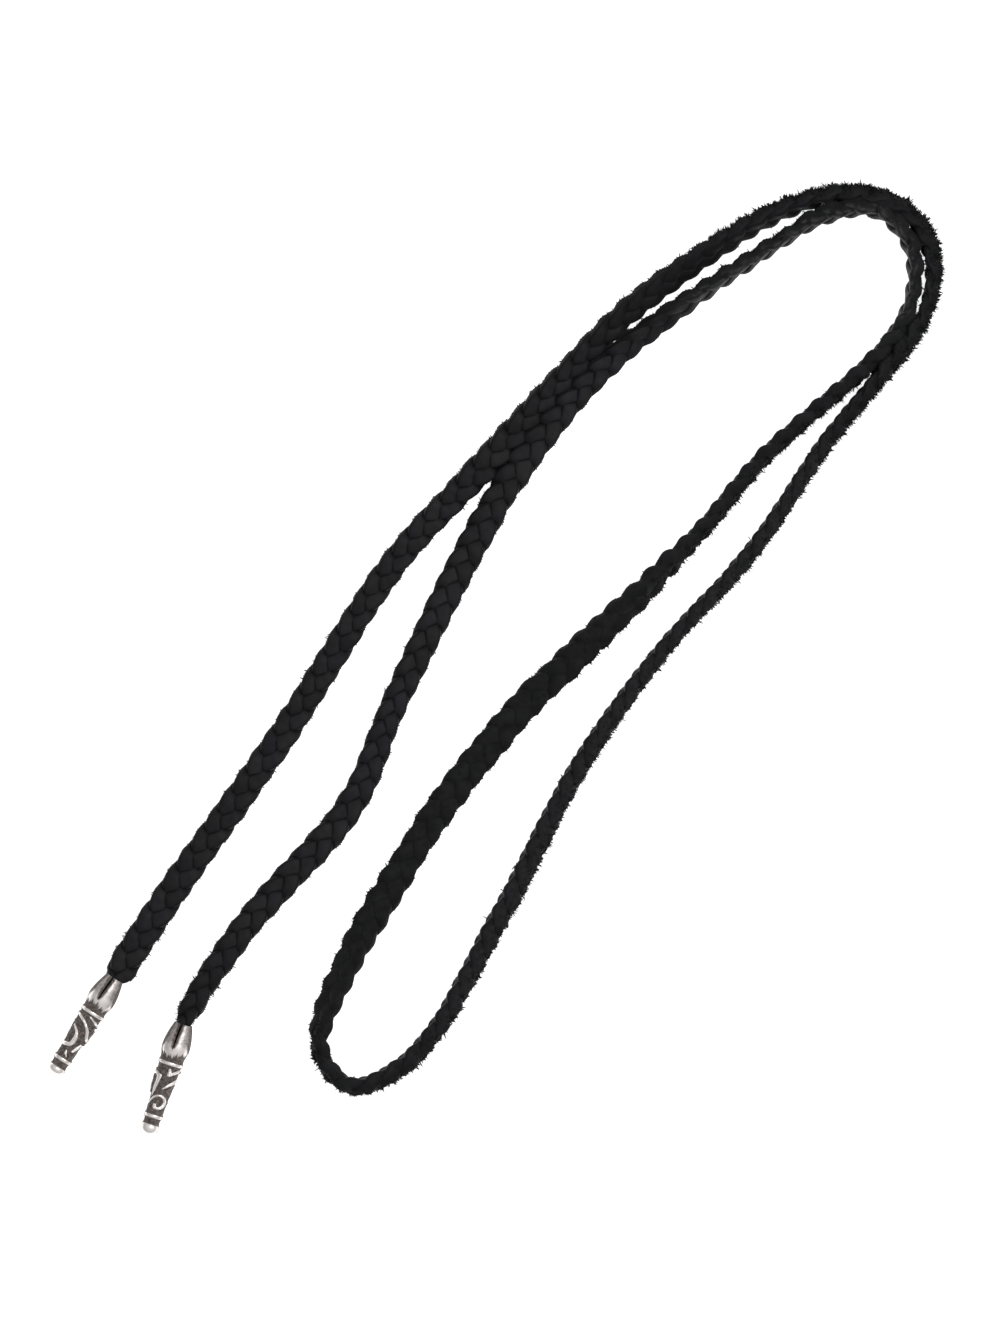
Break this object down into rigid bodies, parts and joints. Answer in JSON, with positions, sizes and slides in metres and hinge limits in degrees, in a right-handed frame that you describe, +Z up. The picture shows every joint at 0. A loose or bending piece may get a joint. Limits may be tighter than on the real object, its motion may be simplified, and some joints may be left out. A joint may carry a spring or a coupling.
{
  "type": "braided leather neck cord with silver end tips",
  "caption": "Flat braided leather neck cord laid doubled on a surface, with a cast silver tip of scroll relief and a petalled cup on each free end.",
  "frame": {"origin": "middle of the object's box, on the surface that it lies on", "axes": "+Z up from the surface, +X to the right and +Y away from the viewer who looks down at it with the tips at lower left"},
  "size_m": [0.2047, 0.2176, 0.0069],
  "materials": {
    "leather": "soft black leather lace, dull grain side, suede flesh side and frayed edges",
    "silver": "cast silver, polished high spots and dark oxidised recesses"
  },
  "bodies": {
    "root": {"lace_1": "leather", "lace_2": "leather", "lace_3": "leather", "end_tip_left": "silver", "end_tip_right": "silver"}
  },
  "joints": []
}
